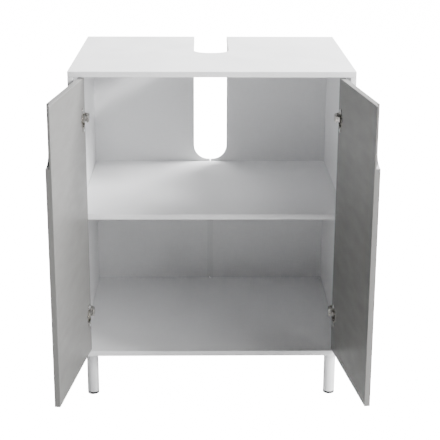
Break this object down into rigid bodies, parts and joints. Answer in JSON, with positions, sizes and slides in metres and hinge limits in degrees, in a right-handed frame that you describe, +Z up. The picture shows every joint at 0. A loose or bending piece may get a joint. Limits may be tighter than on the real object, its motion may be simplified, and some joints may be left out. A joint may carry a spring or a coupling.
{
  "type": "bathroom vanity cabinet",
  "caption": "Under-basin vanity cabinet on tube legs, with a notched top, a slotted back, one shelf and two inset doors on concealed hinges, shown open.",
  "frame": {"origin": "on the floor, under the middle of the cabinet with both doors open as in the rest pose", "axes": "+X to the right seen from the front, +Y from the doors towards the wall, +Z up"},
  "size_m": [0.63, 0.7457, 0.75],
  "materials": {
    "white_board": "white melamine-faced chipboard, satin",
    "grey_board": "mid grey melamine-faced chipboard, satin",
    "white_back": "white-faced thin fibreboard, matt",
    "white_metal": "white powder coat",
    "foot_plastic": "dark moulded plastic",
    "strip_plastic": "white extruded plastic",
    "nickel_steel": "nickel-plated pressed steel",
    "zinc_steel": "zinc-plated steel"
  },
  "bodies": {
    "root": {"top_panel": "white_board", "bottom_panel": "white_board", "shelf": "white_board", "left_side_panel": "white_board", "right_side_panel": "white_board", "left_back_panel": "white_back", "left_front_leg_plate": "white_metal", "left_front_leg_tube": "white_metal", "left_front_leg_foot": "foot_plastic", "left_front_shelf_pin": "zinc_steel", "left_rear_leg_plate": "white_metal", "left_rear_leg_tube": "white_metal", "left_rear_leg_foot": "foot_plastic", "left_rear_shelf_pin": "zinc_steel", "left_lower_hinge_arm": "nickel_steel", "left_lower_mounting_plate": "nickel_steel", "left_lower_mounting_plate_lower_screw": "zinc_steel", "left_lower_mounting_plate_upper_screw": "zinc_steel", "left_upper_hinge_arm": "nickel_steel", "left_upper_mounting_plate": "nickel_steel", "left_upper_mounting_plate_lower_screw": "zinc_steel", "left_upper_mounting_plate_upper_screw": "zinc_steel", "right_back_panel": "white_back", "right_front_leg_plate": "white_metal", "right_front_leg_tube": "white_metal", "right_front_leg_foot": "foot_plastic", "right_front_shelf_pin": "zinc_steel", "right_rear_leg_plate": "white_metal", "right_rear_leg_tube": "white_metal", "right_rear_leg_foot": "foot_plastic", "right_rear_shelf_pin": "zinc_steel", "right_lower_hinge_arm": "nickel_steel", "right_lower_mounting_plate": "nickel_steel", "right_lower_mounting_plate_lower_screw": "zinc_steel", "right_lower_mounting_plate_upper_screw": "zinc_steel", "right_upper_hinge_arm": "nickel_steel", "right_upper_mounting_plate": "nickel_steel", "right_upper_mounting_plate_lower_screw": "zinc_steel", "right_upper_mounting_plate_upper_screw": "zinc_steel", "back_joining_strip": "strip_plastic"},
    "left_door_leaf": {"left_door": "grey_board", "left_lower_hinge_cup": "nickel_steel", "left_upper_hinge_cup": "nickel_steel", "left_lower_hinge_cup_lower_screw": "zinc_steel", "left_lower_hinge_cup_upper_screw": "zinc_steel", "left_upper_hinge_cup_lower_screw": "zinc_steel", "left_upper_hinge_cup_upper_screw": "zinc_steel"},
    "left_links": {"left_lower_hinge_link": "nickel_steel", "left_upper_hinge_link": "nickel_steel"},
    "right_door_leaf": {"right_door": "grey_board", "right_lower_hinge_cup": "nickel_steel", "right_upper_hinge_cup": "nickel_steel", "right_lower_hinge_cup_lower_screw": "zinc_steel", "right_lower_hinge_cup_upper_screw": "zinc_steel", "right_upper_hinge_cup_lower_screw": "zinc_steel", "right_upper_hinge_cup_upper_screw": "zinc_steel"},
    "right_links": {"right_lower_hinge_link": "nickel_steel", "right_upper_hinge_link": "nickel_steel"}
  },
  "joints": [
    {"name": "left_door_hinge", "type": "hinge", "parent": "root", "child": "left_door_leaf", "pos_m": [-0.2783, -0.09649, 0.43], "axis": [0, 0, -1], "range_deg": [-97.5, 2.5]},
    {"name": "left_link_pivot", "type": "hinge", "parent": "root", "child": "left_links", "pos_m": [-0.26077, -0.08794, 0.43], "axis": [0, 0, 1], "range_deg": [-72.2, 2]},
    {"name": "right_door_hinge", "type": "hinge", "parent": "root", "child": "right_door_leaf", "pos_m": [0.2783, -0.09649, 0.43], "axis": [0, 0, 1], "range_deg": [-97.5, 2.5]},
    {"name": "right_link_pivot", "type": "hinge", "parent": "root", "child": "right_links", "pos_m": [0.26077, -0.08794, 0.43], "axis": [0, 0, -1], "range_deg": [-72.2, 2]}
  ],
  "couplings": [
    {"joint": "left_link_pivot", "follows": "left_door_hinge", "ratio": 0.73766},
    {"joint": "right_link_pivot", "follows": "right_door_hinge", "ratio": 0.73766}
  ]
}
